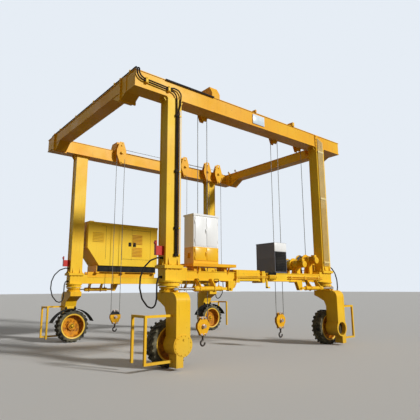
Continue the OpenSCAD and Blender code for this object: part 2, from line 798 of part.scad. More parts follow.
module placed_steering_rod(sx, sy) {
    color("#d8d6d0") quarter(sx, sy) steering_rod();
}

// The side outline of a yoke, drawn in Y and Z
module yoke_outline() {
    polygon(concat(
        [[arm_y0, axle_z], [arm_y1, axle_z]],
        [for (a = [0 : 10 : 90])
            [arm_y1 - knee_r + knee_r * cos(a), head_top - knee_r + knee_r * sin(a)]],
        [[col_y - 225, head_top], [col_y - 225, head_top - head_h + 50],
            [col_y - 60, head_top - head_h - 20], [arm_y0 - 60, head_top - head_h - 110],
            [arm_y0, head_top - head_h - 260]]
    ));
}

// One yoke with its turret, kingpin, wheel housing and axle
module yoke(open_housing) {
    difference() {
        union() {
            slab_x([col_x - arm_l / 2, col_x + arm_l / 2]) yoke_outline();
            bar_y(2 * housing_r, col_x, [arm_y0, arm_y1], axle_z);
            span([col_x - 5, col_x + 165], [arm_y1 - 250, arm_y1], [60, axle_z - housing_r + 60]);
        }
        if (open_housing)
            bar_y(2 * housing_r - 100, col_x, [arm_y1 - 120, arm_y1 + 1], axle_z - 20);
    }
    if (!open_housing) bar_y(2 * housing_r - 40, col_x, [arm_y1, arm_y1 + 10], axle_z);
    bar_z(turret_d, col_x, col_y, [head_top, head_top + 40]);
    bar_z(turret_d - 60, col_x, col_y, [head_top, turret_top]);
    bar_z(turret_d, col_x, col_y, [turret_top - 40, turret_top]);
    bar_z(kingpin_d, col_x, col_y, [head_top, kingpin_top]);
    bar_y(300, col_x, [col_y + disc_y + 5, arm_y0], axle_z);
    bar_y(axle_d, col_x, [axle_y0, arm_y0], axle_z);
    bar_y(axle_d + 50, col_x, [axle_y0 - 14, axle_y0 + 3], axle_z);
    bar_z(80, col_x, steer_y, [head_top, head_top + 35]);
    bar_z(32, col_x, steer_y, [head_top, head_top + 118]);
    bar_z(84, col_x, steer_y, [head_top + 97, head_top + 109]);
}

module placed_yoke(sx, sy, open_housing) {
    color("#f2c418") quarter(sx, sy) yoke(open_housing);
}

// The pipe frame round one wheel, carried by the yoke's arm
module guard() {
    post_x = col_x + 795;
    plane_y = arm_y0 + 225;
    side_y = col_y - 105;
    x = [post_x - guard_t / 2, post_x + guard_t / 2];
    y = [plane_y - guard_t / 2, plane_y + guard_t / 2];
    span(x, y, [guard_bottom, guard_top]);
    span([col_x + arm_l / 2, post_x], y, [guard_top - guard_t, guard_top]);
    span([col_x + 165, post_x], y, [guard_bottom, guard_bottom + guard_t]);
    span(x, [side_y - guard_t / 2, side_y + guard_t / 2], [guard_bottom, guard_top]);
    span(x, [side_y, plane_y], [guard_top - guard_t, guard_top]);
}

// The mudguard over one back wheel, hung from the yoke's arm
module mudguard() {
    r = 720;
    z = axle_z + 520 - r;
    slab_y([col_y - 150, col_y + 150]) intersection() {
        difference() {
            translate([col_x, z]) circle(r = r + 5, $fn = 96);
            translate([col_x, z]) circle(r = r, $fn = 96);
        }
        translate([col_x - 645, z + 0.44 * r]) square([1290, r]);
    }
    for (x = [col_x - 160, col_x + 130])
        slab_x([x, x + 30]) polygon([
            [col_y + 100, axle_z + 496], [arm_y0, axle_z + 496],
            [arm_y0, axle_z + 590], [col_y + 100, axle_z + 540]
        ]);
}

module placed_guard(sx, sy) {
    color("#f2c418") quarter(sx, sy) guard();
}

module placed_mudguard(sx, sy) {
    color("#16181a") quarter(sx, sy) mudguard();
}

// One rim with its well, disc and hub
module rim() {
    seat = rim_d / 2;
    edge = tyre_w / 2 - 15;
    translate([col_x, col_y, axle_z]) rotate([-90, 0, 0]) rotate_extrude($fn = 96)
        polygon([
            [axle_d / 2 + pin_clear, hub_y0], [hub_d / 2, hub_y0], [hub_d / 2, disc_y - 30],
            [seat - rim_t - 40, disc_y - 45], [seat - rim_t, disc_y - 70],
            [seat - rim_t, -edge], [seat + rim_lip, -edge - 12], [seat + rim_lip, -edge],
            [seat, -edge], [seat, edge], [seat + rim_lip, edge], [seat + rim_lip, edge + 12],
            [seat - rim_t, edge], [seat - rim_t, disc_y - 40], [seat - rim_t - 40, disc_y - 20],
            [hub_d / 2 + 20, disc_y], [axle_d / 2 + pin_clear, disc_y]
        ]);
}

module placed_rim(sx, sy) {
    color("#e3a911") quarter(sx, sy) rim();
}

// One tyre, a ring with rounded shoulders and diagonal lugs
module tyre() {
    seat = rim_d / 2;
    half = tyre_w / 2;
    crown = tyre_d / 2 - lug_h;
    translate([col_x, col_y, axle_z]) rotate([-90, 0, 0]) {
        rotate_extrude($fn = 96) polygon([
            [seat, 15 - half], [seat + rim_lip, 15 - half], [seat + rim_lip + 8, -half],
            [crown - 40, -half], [crown - 12, 12 - half], [crown, 40 - half],
            [crown, half - 40], [crown - 12, half - 12], [crown - 40, half],
            [seat + rim_lip + 8, half], [seat + rim_lip, half - 15], [seat, half - 15]
        ]);
        intersection() {
            for (i = [0 : lug_count - 1], side = [0, 1])
                rotate([0, 0, (i + side / 2) * 360 / lug_count]) mirror([0, 0, side])
                    translate([crown - 60, 0, half / 2 + 6]) rotate([24, 0, 0])
                        translate([0, -24, -half / 2 - 20]) cube([60 + lug_h + 20, 48, half + 60]);
            translate([0, 0, -half]) cylinder(r = tyre_d / 2, h = tyre_w, $fn = 96);
        }
    }
}

module placed_tyre(sx, sy) {
    color("#232527") quarter(sx, sy) tyre();
}

// One hook block under its two falls, with the hook in its cross-head
module hook_block(x, y) {
    gap = sheave_t / 2 + 6;
    translate([x, y, block_z]) {
        for (side = [0, 1]) mirror([0, side, 0]) {
            slab_y([gap, gap + cheek_t]) polygon([
                [-60, 210], [60, 210], [180, 60], [180, -40], [80, -210], [-80, -210],
                [-180, -40], [-180, 60]
            ]);
            bar_y(80, 0, [gap + cheek_t, gap + cheek_t + 12], 0);
        }
        bar_y(50, 0, [-gap, gap], 0);
        sheave(0, 0, 0, 50);
        rotate([90, 0, 0]) rotate([0, 0, 180])
            rotate_extrude(angle = 180) translate([rope_r, 0]) circle(d = rope_d);
        span([-70, 70], [-gap, gap], [-210, -175]);
        bar_z(46, 0, 0, [-330, -200]);
        bar_z(70, 0, 0, [-240, -210]);
        translate([0, 0, -385]) rotate([90, 0, 0]) {
            rotate([0, 0, 90]) rotate_extrude(angle = 180) translate([62, 0]) circle(d = 42);
            rotate([0, 0, 270]) rotate_extrude(angle = 100) translate([62, 0]) circle(d = 42);
        }
    }
}

module placed_hook_block(x, y, tint) {
    color(tint) hook_block(x, y);
}

// The two falls of rope over one hook block
module rope_falls(x, y) {
    color("#5a5650") for (side = [-1, 1])
        bar_z(rope_d, x + side * rope_r, y, [block_z, fall_top]);
}

front_girder();
back_girder();
left_cross_beam();
right_cross_beam();
placed_column(-1, -1);  // front_left_column
placed_column(1, -1);  // front_right_column
placed_column(-1, 1);  // back_left_column
placed_column(1, 1);  // back_right_column
front_sill();
back_sill();
upper_sheave_blocks();
winch_ropes();
winch_frames();
placed_drum(drum_a, -1);  // front_left_drum
placed_drum(drum_b, -1);  // front_right_drum
placed_drum(drum_a, 1);  // back_left_drum
placed_drum(drum_b, 1);  // back_right_drum
generator_housing();
generator_skid();
electrical_cabinet();
cabinet_platform();
power_unit();
pipework();
alarm_boxes();
steering_barrels();
placed_yoke(-1, -1, false);  // front_left_yoke
placed_yoke(1, -1, true);  // front_right_yoke
placed_yoke(-1, 1, false);  // back_left_yoke
placed_yoke(1, 1, false);  // back_right_yoke
placed_guard(-1, -1);  // front_left_guard
placed_guard(1, -1);  // front_right_guard
placed_guard(-1, 1);  // back_left_guard
placed_guard(1, 1);  // back_right_guard
placed_mudguard(-1, 1);  // back_left_mudguard
placed_mudguard(1, 1);  // back_right_mudguard
placed_rim(-1, -1);  // front_left_rim
placed_rim(1, -1);  // front_right_rim
placed_rim(-1, 1);  // back_left_rim
placed_rim(1, 1);  // back_right_rim
placed_tyre(-1, -1);  // front_left_tyre
placed_tyre(1, -1);  // front_right_tyre
placed_tyre(-1, 1);  // back_left_tyre
placed_tyre(1, 1);  // back_right_tyre
placed_steering_rod(-1, -1);  // front_left_steering_rod
placed_steering_rod(1, -1);  // front_right_steering_rod
placed_steering_rod(-1, 1);  // back_left_steering_rod
placed_steering_rod(1, 1);  // back_right_steering_rod
placed_hook_block(hoist_a_x, -rope_y_a, "#f2c418");  // front_left_hook_block
placed_hook_block(hoist_b_x, -rope_y_b, "#f2c418");  // front_right_hook_block
placed_hook_block(hoist_a_x, rope_y_a, "#f2c418");  // back_left_hook_block
placed_hook_block(hoist_b_x, rope_y_b, "#f2c418");  // back_right_hook_block
rope_falls(hoist_a_x, -rope_y_a);  // front_left_rope_falls
rope_falls(hoist_b_x, -rope_y_b);  // front_right_rope_falls
rope_falls(hoist_a_x, rope_y_a);  // back_left_rope_falls
rope_falls(hoist_b_x, rope_y_b);  // back_right_rope_falls
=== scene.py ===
from math import cos, radians, sin, tan, tau

import bmesh
import bpy
from mathutils import Matrix, Vector


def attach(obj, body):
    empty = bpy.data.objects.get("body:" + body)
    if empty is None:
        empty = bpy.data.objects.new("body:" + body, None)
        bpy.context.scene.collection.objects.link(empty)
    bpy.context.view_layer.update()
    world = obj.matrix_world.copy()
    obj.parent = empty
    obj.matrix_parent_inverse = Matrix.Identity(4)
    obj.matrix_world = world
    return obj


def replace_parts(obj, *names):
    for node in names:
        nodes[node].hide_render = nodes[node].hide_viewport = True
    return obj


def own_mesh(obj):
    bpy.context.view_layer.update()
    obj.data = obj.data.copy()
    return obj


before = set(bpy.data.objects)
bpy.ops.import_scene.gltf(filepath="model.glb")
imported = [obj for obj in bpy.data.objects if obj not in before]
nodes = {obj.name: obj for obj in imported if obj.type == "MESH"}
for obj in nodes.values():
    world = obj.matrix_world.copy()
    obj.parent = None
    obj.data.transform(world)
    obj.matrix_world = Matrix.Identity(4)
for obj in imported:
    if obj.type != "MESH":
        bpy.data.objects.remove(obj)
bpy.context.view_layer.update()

# The camera stands outside the near corner of the portal at eye height, tilted up, so
# the far girder shows under the near one.
camera_place = Vector((-7.79, -10.25, 1.60))
camera_turn = radians(39.30)
camera_tilt = radians(10.84)
camera_roll = radians(-0.31)
looking = Vector((
    sin(camera_turn) * cos(camera_tilt), cos(camera_turn) * cos(camera_tilt), sin(camera_tilt)))
level_right = Vector((cos(camera_turn), -sin(camera_turn), 0))
level_up = level_right.cross(looking)
right = level_right * cos(camera_roll) + level_up * sin(camera_roll)
up = level_up * cos(camera_roll) - level_right * sin(camera_roll)
camera = bpy.data.objects.new("camera", bpy.data.cameras.new("camera"))
camera.data.lens = 35.17
camera.data.sensor_width = 36
camera.data.clip_end = 400
camera.matrix_world = Matrix((
    (right.x, up.x, -looking.x, camera_place.x),
    (right.y, up.y, -looking.y, camera_place.y),
    (right.z, up.z, -looking.z, camera_place.z),
    (0, 0, 0, 1),
))
bpy.context.scene.collection.objects.link(camera)
bpy.context.scene.camera = camera
bpy.context.scene.view_settings.view_transform = "Standard"


# A pale matt floor under a pale sky. A low wide key stands at the front right, as the
# late sun falls on the machine. The sky and the floor throw only a weak warm light
# back, so its left faces and undersides stay in shade.
def linear(colour):
    channels = [int(colour[i:i + 2], 16) / 255 for i in (1, 3, 5)]
    return [c / 12.92 if c <= 0.04045 else ((c + 0.055) / 1.055) ** 2.4 for c in channels] + [1]


# Sockets go by name, or by number where names repeat: on a colour Mix node 0 is the
# share of the second colour, 6 the first colour and 7 the second.
def add(tree, kind, values=None, links=None, **settings):
    made = tree.nodes.new("ShaderNode" + kind)
    for name, value in settings.items():
        setattr(made, name, value)
    for socket, value in (values or {}).items():
        made.inputs[socket].default_value = value
    for socket, source in (links or {}).items():
        tree.links.new(source, made.inputs[socket])
    return made


def new_material(name):
    made = bpy.data.materials.new(name)
    made.use_nodes = True
    made.node_tree.nodes.clear()
    return made, made.node_tree


def sun(name, energy, turn, tilt, spread):
    made = bpy.data.objects.new(name, bpy.data.lights.new(name, "SUN"))
    made.data.energy = energy
    made.data.angle = radians(spread)
    made.rotation_euler = (radians(90 - tilt), 0, radians(turn))
    bpy.context.scene.collection.objects.link(made)


floor_mesh = bmesh.new()
bmesh.ops.create_grid(floor_mesh, x_segments=1, y_segments=1, size=150)
floor_data = bpy.data.meshes.new("floor")
floor_mesh.to_mesh(floor_data)
floor_mesh.free()
floor = bpy.data.objects.new("floor", floor_data)
bpy.context.scene.collection.objects.link(floor)
pale, tree = new_material("pale_floor")
path = add(tree, "LightPath")
seen = add(tree, "Math", links={0: path.outputs["Is Camera Ray"], 1: path.outputs["Is Glossy Ray"]},
           operation="MAXIMUM")
tint = add(tree, "Mix", {6: linear("#858179"), 7: linear("#d9d8d4")}, {0: seen.outputs[0]},
           data_type="RGBA")
shade = add(tree, "BsdfPrincipled", {"Roughness": 0.9}, {"Base Color": tint.outputs[2]})
add(tree, "OutputMaterial", links={"Surface": shade.outputs[0]})
floor_data.materials.append(pale)

world = bpy.data.worlds.new("sky")
bpy.context.scene.world = world
world.use_nodes = True
tree = world.node_tree
tree.nodes.clear()
path = add(tree, "LightPath")
seen = add(tree, "Math", links={0: path.outputs["Is Camera Ray"], 1: path.outputs["Is Glossy Ray"]},
           operation="MAXIMUM")
fill = add(tree, "Background", {"Color": linear("#f3ebe2"), "Strength": 0.14})
backdrop = add(tree, "Background", {"Color": linear("#e6edf5"), "Strength": 1.0})
sky = add(tree, "MixShader", links={0: seen.outputs[0], 1: fill.outputs[0], 2: backdrop.outputs[0]})
add(tree, "OutputWorld", links={"Surface": sky.outputs[0]})
sun("low_sun", energy=3.0, turn=24, tilt=24, spread=6)
sun("soft_top", energy=0.10, turn=-60, tilt=60, spread=60)


# The girders and beams are boxes welded from rolled plate, blasted and sprayed with two
# coats of safety yellow enamel. The sun bleaches it in patches, rain draws grey runs
# down it, stones chip it to the primer, and its undersides get a painted shade of orange.
def skin(tree, point, colour, gloss, grain, depth, coat=0.0, metallic=0.0):
    relief = add(tree, "TexNoise", {"Scale": 1000 / grain, "Detail": 4}, {"Vector": point})
    bump = add(tree, "Bump", {"Strength": 0.35, "Distance": depth}, {"Height": relief.outputs[0]})
    wear = add(tree, "TexNoise", {"Scale": 1000 / 600, "Detail": 5}, {"Vector": point})
    rough = add(tree, "MapRange", {"From Min": 0.3, "From Max": 0.7, "To Min": gloss - 0.08,
                                   "To Max": gloss + 0.12}, {"Value": wear.outputs[0]})
    shade = add(tree, "BsdfPrincipled", {"Coat Weight": coat, "Coat Roughness": 0.25,
                                         "Specular IOR Level": 0.18, "Metallic": metallic},
                {"Base Color": colour, "Roughness": rough.outputs[0], "Normal": bump.outputs[0]})
    add(tree, "OutputMaterial", links={"Surface": shade.outputs[0]})


# Clouds are 1100 mm across, patches of gloss 600 mm and chips 26 mm. Runs are 50 mm
# wide and 900 mm long. The film's orange peel is really 2 mm and is drawn at 18 mm to
# show. Splashed dust lies up to 1.1 m high.
def enamel(name, fresh, bleached, stain="#6d5a33", stain_share=0.45, painted_underside_shade="#a8690a"):
    made, tree = new_material(name)
    where = add(tree, "TexCoord")
    point = where.outputs["Object"]
    clouds = add(tree, "TexNoise", {"Scale": 1000 / 1100, "Detail": 5}, {"Vector": point})
    bleach = add(tree, "MapRange", {"From Min": 0.35, "From Max": 0.68},
                 {"Value": clouds.outputs[0]})
    coat = add(tree, "Mix", {6: linear(fresh), 7: linear(bleached)}, {0: bleach.outputs[0]},
               data_type="RGBA")
    drawn = add(tree, "Mapping", {"Scale": (1000 / 50, 1000 / 50, 1000 / 900)}, {"Vector": point})
    runs = add(tree, "TexNoise", {"Scale": 1.0, "Detail": 6, "Roughness": 0.7},
               {"Vector": drawn.outputs[0]})
    run_share = add(tree, "MapRange", {"From Min": 0.56, "From Max": 0.78, "To Max": stain_share},
                    {"Value": runs.outputs[0]})
    stained = add(tree, "Mix", {7: linear(stain)}, {0: run_share.outputs[0], 6: coat.outputs[2]},
                  data_type="RGBA")
    specks = add(tree, "TexNoise", {"Scale": 1000 / 26, "Detail": 2}, {"Vector": point})
    chip_share = add(tree, "MapRange", {"From Min": 0.70, "From Max": 0.74, "To Max": 0.55},
                     {"Value": specks.outputs[0]})
    chipped = add(tree, "Mix", {7: linear("#4a3a20")}, {0: chip_share.outputs[0],
                  6: stained.outputs[2]}, data_type="RGBA")
    facing = add(tree, "SeparateXYZ", links={0: where.outputs["Normal"]})
    # Faces turned down are mixed towards a deeper orange as painted shade under the beams.
    underside_shade_share = add(tree, "MapRange", {"From Min": -0.3, "From Max": -0.9, "To Max": 0.6},
               {"Value": facing.outputs[2]})
    shaded_under = add(tree, "Mix", {7: linear(painted_underside_shade)}, {0: underside_shade_share.outputs[0], 6: chipped.outputs[2]},
                data_type="RGBA")
    height = add(tree, "SeparateXYZ", links={0: point})
    low = add(tree, "MapRange", {"From Min": 1.1, "From Max": 0.0, "To Max": 0.5},
              {"Value": height.outputs[2]})
    splash = add(tree, "Math", links={0: low.outputs[0], 1: clouds.outputs[0]},
                 operation="MULTIPLY")
    dusty = add(tree, "Mix", {7: linear("#a08a5c")}, {0: splash.outputs[0], 6: shaded_under.outputs[2]},
                data_type="RGBA")
    skin(tree, point, dusty.outputs[2], 0.46, 18, 0.0012, coat=0.03)
    return made


def dress(names, material):
    for name in names:
        mesh = nodes[name].data
        mesh.materials.clear()
        mesh.materials.append(material)


girder_yellow = enamel("girder_enamel", "#f0a90a", "#f6bd1c")
column_yellow = enamel("column_enamel", "#f4bd18", "#f9cf34")
dress([n for n in nodes if n.endswith(("_girder", "_beam"))], girder_yellow)
dress([n for n in nodes if n.endswith(("_column", "_sill"))], column_yellow)
dress(["upper_sheave_blocks", "cabinet_platform", "generator_skid"], girder_yellow)


# The bolted joints: hexagon bolts in rows round the flanges of the beams, the columns
# and the slewing rings, zinc plated and painted over with the steel round them.
def keep_piece(bm, name, material, body, smooth=35):
    bmesh.ops.recalc_face_normals(bm, faces=bm.faces)
    mesh = bpy.data.meshes.new(name)
    bm.to_mesh(mesh)
    bm.free()
    for face in mesh.polygons:
        face.use_smooth = True
    mesh.set_sharp_from_angle(angle=radians(smooth))
    mesh.materials.append(material)
    piece = bpy.data.objects.new(name, mesh)
    bpy.context.scene.collection.objects.link(piece)
    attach(piece, body)
    return piece


def as_mesh(bm):
    mesh = bpy.data.meshes.new("pattern")
    bm.to_mesh(mesh)
    bm.free()
    return mesh


# A copy of a pattern mesh goes into a piece, with its Z axis turned the given way.
def set_in(bm, mesh, place=(0, 0, 0), direction=(0, 0, 1)):
    aim = Vector((0, 0, 1)).rotation_difference(Vector(direction)).to_matrix().to_4x4()
    copy = mesh.copy()
    copy.transform(Matrix.Translation(Vector(place)) @ aim)
    bm.from_mesh(copy)
    bpy.data.meshes.remove(copy)


# A lathe-turned pattern round Z, from points of radius and height.
def turned(profile, steps=24):
    bm = bmesh.new()
    points = [bm.verts.new((radius, 0, height)) for radius, height in profile]
    for first, second in zip(points, points[1:]):
        bm.edges.new((first, second))
    bmesh.ops.spin(bm, geom=bm.verts[:] + bm.edges[:], cent=(0, 0, 0), axis=(0, 0, 1),
                   angle=tau, steps=steps, use_merge=True)
    bmesh.ops.remove_doubles(bm, verts=bm.verts, dist=1e-6)
    bmesh.ops.holes_fill(bm, edges=[e for e in bm.edges if e.is_boundary], sides=0)
    bmesh.ops.recalc_face_normals(bm, faces=bm.faces)
    return as_mesh(bm)


def hexagon_bolt(across):
    bm = bmesh.new()
    bmesh.ops.create_cone(bm, cap_ends=True, segments=6, radius1=across * 0.577,
                          radius2=across * 0.577, depth=across * 0.62,
                          matrix=Matrix.Translation((0, 0, across * 0.42)))
    rims = [e for e in bm.edges if all(v.co.z > across * 0.6 for v in e.verts)]
    bmesh.ops.bevel(bm, geom=rims, offset=across * 0.06, segments=1, profile=0.5,
                    affect="EDGES", material=-1)
    bmesh.ops.create_cone(bm, cap_ends=True, segments=14, radius1=across * 0.72,
                          radius2=across * 0.68, depth=across * 0.11,
                          matrix=Matrix.Translation((0, 0, across * 0.055)))
    return as_mesh(bm)


def folded_box(low, high, edge=0.004):
    bm = bmesh.new()
    size = Vector(high) - Vector(low)
    bmesh.ops.create_cube(bm, size=1, matrix=Matrix.Translation((Vector(high) + Vector(low)) / 2)
                          @ Matrix.Diagonal((*size, 1)))
    bmesh.ops.bevel(bm, geom=bm.edges[:], offset=edge, segments=2, profile=0.5,
                    affect="EDGES", material=-1)
    return as_mesh(bm)


def bolt_circle(bm, bolt, centre, radius, count, direction):
    aim = Vector((0, 0, 1)).rotation_difference(Vector(direction))
    for i in range(count):
        angle = (i + 0.5) * tau / count
        place = Vector(centre) + aim @ Vector((radius * cos(angle), radius * sin(angle), 0))
        set_in(bm, bolt, place, direction)


flange_bolt = hexagon_bolt(0.024)
ring_bolt = hexagon_bolt(0.018)
corner_x, corner_y = 2.775, 2.705
beam_middle_x, beam_joint_y, joint_plate = 3.655, 2.20, 0.02
joint_edge, joint_low, joint_pitch = 0.1925, 5.86, 0.08
foot_z, foot_grip, foot_edge_x, foot_edge_y = 2.10, 0.07, 0.215, 0.175
ring_face, ring_radius = 1.741, 0.231
splice_face, splice_low, splice_pitch = -2.865, 6.00, 0.10
corners = (("front_left", -1, -1), ("front_right", 1, -1), ("back_left", -1, 1),
           ("back_right", 1, 1))
bolts = bmesh.new()
for _, sx, sy in corners:
    for edge in (-joint_edge, joint_edge):
        for i in range(7):
            x, z = sx * beam_middle_x + edge, joint_low + i * joint_pitch
            for side in (1, -1):
                y = sy * (beam_joint_y + side * joint_plate)
                set_in(bolts, flange_bolt, (x, y, z), (0, side * sy, 0))
    for along in (-0.165, -0.06, 0.06, 0.165):
        for edge in (-foot_edge_y, foot_edge_y):
            x, y = sx * corner_x + along, sy * corner_y + edge
            set_in(bolts, flange_bolt, (x, y, foot_z))
            set_in(bolts, flange_bolt, (x, y, foot_z - foot_grip), (0, 0, -1))
    for along in (-0.15, -0.045, 0.045, 0.15):
        for edge in (-foot_edge_x, foot_edge_x):
            set_in(bolts, flange_bolt, (sx * corner_x + edge, sy * corner_y + along, foot_z))
    bolt_circle(bolts, ring_bolt, (sx * corner_x, sy * corner_y, ring_face), ring_radius, 28,
                (0, 0, -1))
splice_x = corner_x - 0.13
for side in (-0.07, 0.07):
    for i in range(4):
        set_in(bolts, flange_bolt,
               (splice_x + side, splice_face, splice_low + i * splice_pitch), (0, -1, 0))
for splice in (-0.90, -0.0075):
    for side in (-1, 1):
        for i in range(4):
            for y in (-2.875, -2.545):
                set_in(bolts, ring_bolt, (splice + side * 0.05, y, 1.78 + i * 0.065), (side, 0, 0))
keep_piece(bolts, "portal_bolts", column_yellow, "portal")


# Two low bars lie across the front girder's top. The photograph shows them a few pixels
# high, and they are taken for stops cut from flat steel, welded on and painted over.
girder_top = 6.35
stops = bmesh.new()
for x, thick, high in ((-0.13, 0.045, 0.075), (1.44, 0.080, 0.120)):
    set_in(stops, folded_box((x, -2.885, girder_top - 0.002),
                             (x + thick, -2.525, girder_top + high)))
keep_piece(stops, "girder_stops", girder_yellow, "portal")


# The wheels are cleated solid industrial tyres, moulded in black rubber, grey with dried
# mud, pressed on steel rims with ten nuts round the hub. Mud clouds are 200 mm across,
# and the moulded grain, really 1 mm, is drawn at 7 mm.
def rubber(name, colour, dust, share):
    made, tree = new_material(name)
    point = add(tree, "TexCoord").outputs["Object"]
    clouds = add(tree, "TexNoise", {"Scale": 1000 / 200, "Detail": 6}, {"Vector": point})
    cover = add(tree, "MapRange", {"From Min": 0.35, "From Max": 0.72, "To Max": share},
                {"Value": clouds.outputs[0]})
    coat = add(tree, "Mix", {6: linear(colour), 7: linear(dust)}, {0: cover.outputs[0]},
               data_type="RGBA")
    skin(tree, point, coat.outputs[2], 0.78, 7, 0.002)
    return made


tyre_rubber = rubber("tyre_rubber", "#262522", "#938c70", 0.75)
axle_z = 0.4825


# The rims' enamel is baked. Their dishes are drawn brown in clouds 90 mm across, partly rust
# and partly painted shade of the recess, and the outer lip, past 338 mm from the axle, is
# painted paler as a painted highlight.
def rim_enamel(name, dish, rust_and_dish_shade, lip_highlight):
    made, tree = new_material(name)
    point = add(tree, "TexCoord").outputs["Object"]
    place = add(tree, "SeparateXYZ", links={0: point})
    out = add(tree, "Math", links={0: place.outputs[0]}, operation="ABSOLUTE")
    across = add(tree, "Math", {1: corner_x}, {0: out.outputs[0]}, operation="SUBTRACT")
    above = add(tree, "Math", {1: axle_z}, {0: place.outputs[2]}, operation="SUBTRACT")
    spoke = add(tree, "CombineXYZ", links={0: across.outputs[0], 2: above.outputs[0]})
    radius = add(tree, "VectorMath", links={0: spoke.outputs[0]}, operation="LENGTH")
    # The paler lip past 338 mm from the axle is a painted highlight.
    lip_highlight_share = add(tree, "MapRange", {"From Min": 0.334, "From Max": 0.342},
                 {"Value": radius.outputs["Value"]})
    # The brown clouds in the dish are partly rust and partly painted shade of the recess.
    clouds = add(tree, "TexNoise", {"Scale": 1000 / 90, "Detail": 6}, {"Vector": point})
    rust_and_shade_share = add(tree, "MapRange", {"From Min": 0.38, "From Max": 0.66, "To Max": 0.85},
                {"Value": clouds.outputs[0]})
    inner = add(tree, "Mix", {6: linear(dish), 7: linear(rust_and_dish_shade)}, {0: rust_and_shade_share.outputs[0]},
                data_type="RGBA")
    coat = add(tree, "Mix", {7: linear(lip_highlight)}, {0: lip_highlight_share.outputs[0], 6: inner.outputs[2]},
               data_type="RGBA")
    skin(tree, point, coat.outputs[2], 0.5, 9, 0.0008, coat=0.05)
    return made


rim_yellow = rim_enamel("rim_baked_enamel", "#dd9413", "#7a4416", "#f3c94a")
dress([n for n in nodes if n.endswith("_tyre")], tyre_rubber)
dress([n for n in nodes if n.endswith("_rim")], rim_yellow)
wheel_nut = hexagon_bolt(0.032)
for corner, sx, sy in corners:
    nuts = bmesh.new()
    bolt_circle(nuts, wheel_nut, (sx * corner_x, sy * (corner_y + 0.046), axle_z), 0.165, 10,
                (0, -sy, 0))
    keep_piece(nuts, corner + "_wheel_nuts", rim_yellow, corner + "_wheel")


# The yokes are welded plate legs over the wheels. A round housing at the foot holds the
# wheel motor behind a bolted cover, left open at the front right. The guards are bent
# square tube, and the mudguards are cut from black rubber sheet.
yoke_yellow = enamel("yoke_enamel", "#f3b812", "#f9c928")
dress([n for n in nodes if n.endswith(("_yoke", "_guard", "_drum"))], yoke_yellow)
dress(["steering_barrels", "winch_frames"], yoke_yellow)
dress([n for n in nodes if n.endswith("_mudguard")],
      rubber("mudguard_rubber", "#131414", "#6e6a58", 0.3))
cover_face, cover_radius, motor_face, motor_z = 3.264, 0.188, 3.134, axle_z - 0.02
turret_face, turret_radius = 1.570, 0.194
grease_cap = turned(((0, 0.034), (0.018, 0.032), (0.034, 0.022), (0.040, 0.008), (0.040, 0),
                     (0.058, 0), (0.058, -0.004)), 28)
filler_plug = turned(((0, 0.014), (0.012, 0.014), (0.014, 0.011), (0.014, 0), (0.022, 0),
                      (0.022, -0.003)), 16)
for corner, sx, sy in corners:
    fittings = bmesh.new()
    x = sx * corner_x
    if corner != "front_right":
        set_in(fittings, filler_plug, (x, sy * cover_face, axle_z + 0.10), (0, sy, 0))
        bolt_circle(fittings, ring_bolt, (x, sy * cover_face, axle_z), cover_radius, 12,
                    (0, sy, 0))
    bolt_circle(fittings, ring_bolt, (x, sy * corner_y, turret_face), turret_radius, 20,
                (0, 0, 1))
    set_in(fittings, grease_cap, (x, sy * (corner_y - 0.044), axle_z), (0, -sy, 0))
    keep_piece(fittings, corner + "_yoke_fittings", yoke_yellow, corner + "_yoke")
# The motor end is drawn near black, partly its own dark cast iron and partly the painted shade of
# the open bore round it.
dark_iron_and_bore_shade = enamel("motor_iron_and_bore_shade", "#211f1c", "#302c27", "#3d3226", 0.4, "#161412")
motor = bmesh.new()
set_in(motor, turned((
    (0, 0.050), (0.030, 0.050), (0.036, 0.044), (0.040, 0.030), (0.085, 0.026), (0.095, 0.018),
    (0.100, 0.006), (0.150, 0.004), (0.158, 0.012), (0.170, 0.012), (0.172, 0.004),
    (0.172, -0.004)), 40), (corner_x, -motor_face, motor_z), (0, -1, 0))
bolt_circle(motor, ring_bolt, (corner_x, -motor_face - 0.006, motor_z), 0.125, 8, (0, -1, 0))
keep_piece(motor, "front_right_motor_end", dark_iron_and_bore_shade, "front_right_yoke")


# Bright steel: the steering rods are ground and chromed, and wiped clean by their seals,
# with smears of oil 55 mm long. The ground finish, really 0.1 mm, is drawn at 11 mm.
def bright_steel(name, colour, gloss):
    made, tree = new_material(name)
    point = add(tree, "TexCoord").outputs["Object"]
    drawn = add(tree, "Mapping", {"Scale": (1000 / 185, 1000 / 18, 1000 / 18)}, {"Vector": point})
    smear = add(tree, "TexNoise", {"Scale": 1.0, "Detail": 4}, {"Vector": drawn.outputs[0]})
    tone = add(tree, "MapRange", {"From Min": 0.3, "From Max": 0.7}, {"Value": smear.outputs[0]})
    coat = add(tree, "Mix", {6: linear(colour), 7: linear("#8f8c86")}, {0: tone.outputs[0]},
               data_type="RGBA")
    skin(tree, point, coat.outputs[2], gloss, 11, 0.0004, metallic=1.0)
    return made


dress([n for n in nodes if n.endswith("_steering_rod")],
      bright_steel("rod_chrome", "#d9d9d6", 0.22))


